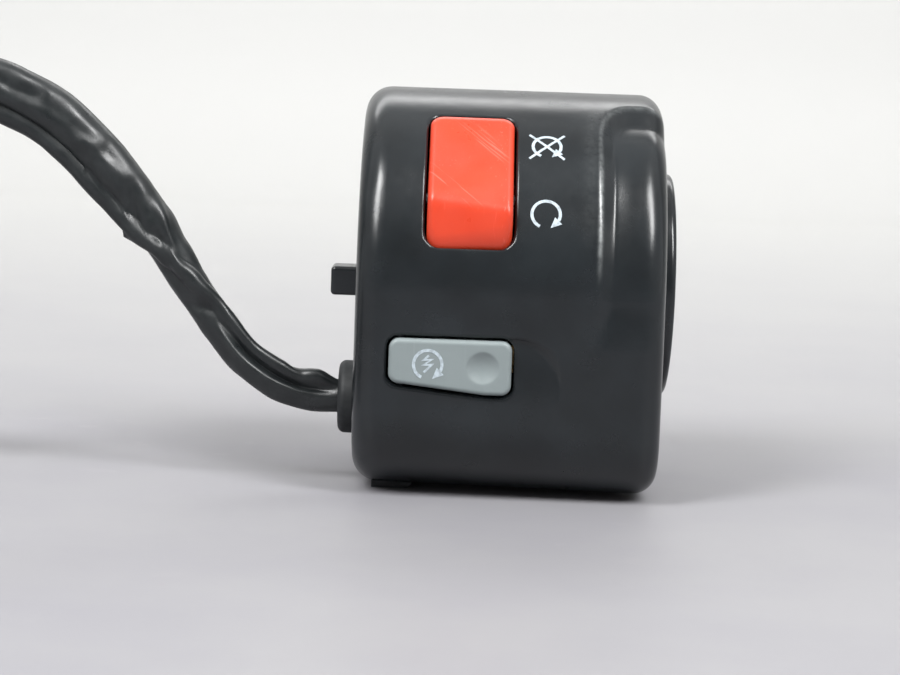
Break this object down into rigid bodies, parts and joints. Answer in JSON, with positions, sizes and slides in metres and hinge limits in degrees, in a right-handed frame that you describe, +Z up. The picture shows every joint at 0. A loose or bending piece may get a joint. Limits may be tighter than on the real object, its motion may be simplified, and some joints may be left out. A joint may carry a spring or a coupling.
{
  "type": "handlebar switch",
  "caption": "Right-hand motorcycle handlebar switch: black split case with a red stop rocker, a grey start button and a sleeved wiring harness.",
  "frame": {"origin": "on the handlebar's axis at the middle of the case's width", "axes": "+X outboard along the handlebar, +Y forward, away from the rider, +Z up"},
  "size_m": [0.2416, 0.0799, 0.0676],
  "materials": {
    "case_paint": "satin black paint on die-cast alloy",
    "red_plastic": "satin red moulded plastic",
    "grey_plastic": "satin grey moulded plastic",
    "inner_plastic": "matt black phenolic",
    "zinc_steel": "zinc-plated steel",
    "pin_steel": "ground steel",
    "spring_steel": "bright spring wire",
    "contact_brass": "bright brass",
    "black_rubber": "soft black rubber",
    "sleeve_vinyl": "satin black vinyl sleeve",
    "stop_vinyl": "coloured lead insulation",
    "start_vinyl": "coloured lead insulation",
    "tie_nylon": "black nylon",
    "plug_nylon": "natural nylon"
  },
  "bodies": {
    "root": {"case_screws": "zinc_steel", "clamp_housing": "case_paint", "connector_housing": "plug_nylon", "connector_lock": "plug_nylon", "connector_terminals": "contact_brass", "harness_clamp": "inner_plastic", "harness_clamp_screw": "zinc_steel", "harness_coil": "sleeve_vinyl", "harness_grommet": "black_rubber", "harness_lead": "sleeve_vinyl", "harness_tie": "tie_nylon", "rocker_pivot_pin": "pin_steel", "sleeve_end": "sleeve_vinyl", "start_base_screws": "zinc_steel", "start_contact_base": "inner_plastic", "start_fixed_contacts": "contact_brass", "start_leads": "start_vinyl", "start_pivot_pin": "pin_steel", "start_return_spring": "spring_steel", "stop_base_screws": "zinc_steel", "stop_contact_base": "inner_plastic", "stop_fixed_contacts": "contact_brass", "stop_leads": "stop_vinyl", "switch_housing": "case_paint"},
    "rocker": {"stop_rocker": "red_plastic"},
    "stop_carrier": {"stop_slider": "inner_plastic", "stop_bridge": "contact_brass", "detent_ball": "pin_steel", "detent_spring": "spring_steel"},
    "start_lever": {"start_button": "grey_plastic"},
    "start_pusher": {"start_plunger": "inner_plastic", "start_bridge": "contact_brass"}
  },
  "joints": [
    {"name": "stop_rocker_hinge", "type": "hinge", "parent": "root", "child": "rocker", "pos_m": [-0.007, -0.0191, 0.01453], "axis": [-1, 0, 0], "range_deg": [0, 11.5]},
    {"name": "stop_carrier_slide", "type": "slide", "parent": "root", "child": "stop_carrier", "axis": [0, -0.6053, -0.796], "range_m": [0, 0.00114]},
    {"name": "start_lever_hinge", "type": "hinge", "parent": "root", "child": "start_lever", "pos_m": [-0.0174, -0.0299, -0.0112], "axis": [0, 0, 1], "range_deg": [0, 7.5]},
    {"name": "start_pusher_slide", "type": "slide", "parent": "root", "child": "start_pusher", "axis": [0, 1, 0], "range_m": [0, 0.00175], "stiffness_N_per_m": 300, "deforming": ["start_return_spring"]}
  ],
  "couplings": [
    {"joint": "stop_rocker_hinge", "follows": "stop_carrier_slide", "rad_per_m": 175.44},
    {"joint": "start_lever_hinge", "follows": "start_pusher_slide", "rad_per_m": 74.627}
  ]
}
